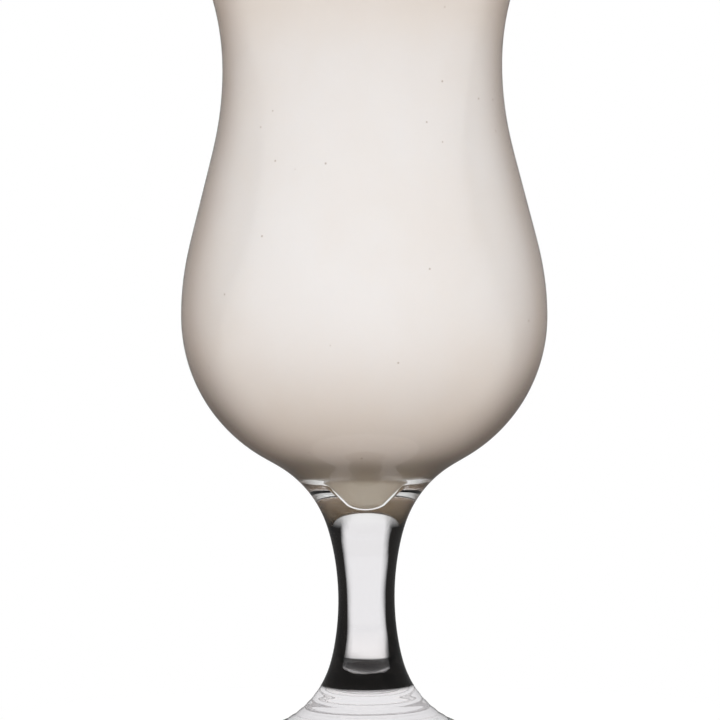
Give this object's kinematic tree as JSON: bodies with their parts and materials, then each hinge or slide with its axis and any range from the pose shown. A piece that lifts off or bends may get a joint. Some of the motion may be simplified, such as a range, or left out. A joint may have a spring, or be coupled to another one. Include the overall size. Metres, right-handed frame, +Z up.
{
  "type": "mudslide cocktail",
  "caption": "Cream cocktail filling a clear stemmed hurricane glass with a flared lip, a round bowl, a solid stem and a flat round foot.",
  "frame": {"origin": "on the glass's axis, level with the ring of the foot that it stands on", "axes": "+Z up along the axis of the glass; the shape is the same all round, so X and Y are free"},
  "size_m": [0.0848, 0.0848, 0.185],
  "materials": {
    "clear_glass": "clear polished glass",
    "cream_drink": "opaque off-white cream drink, smooth and faintly warm"
  },
  "bodies": {
    "root": {"glass": "clear_glass", "drink": "cream_drink"}
  },
  "joints": []
}
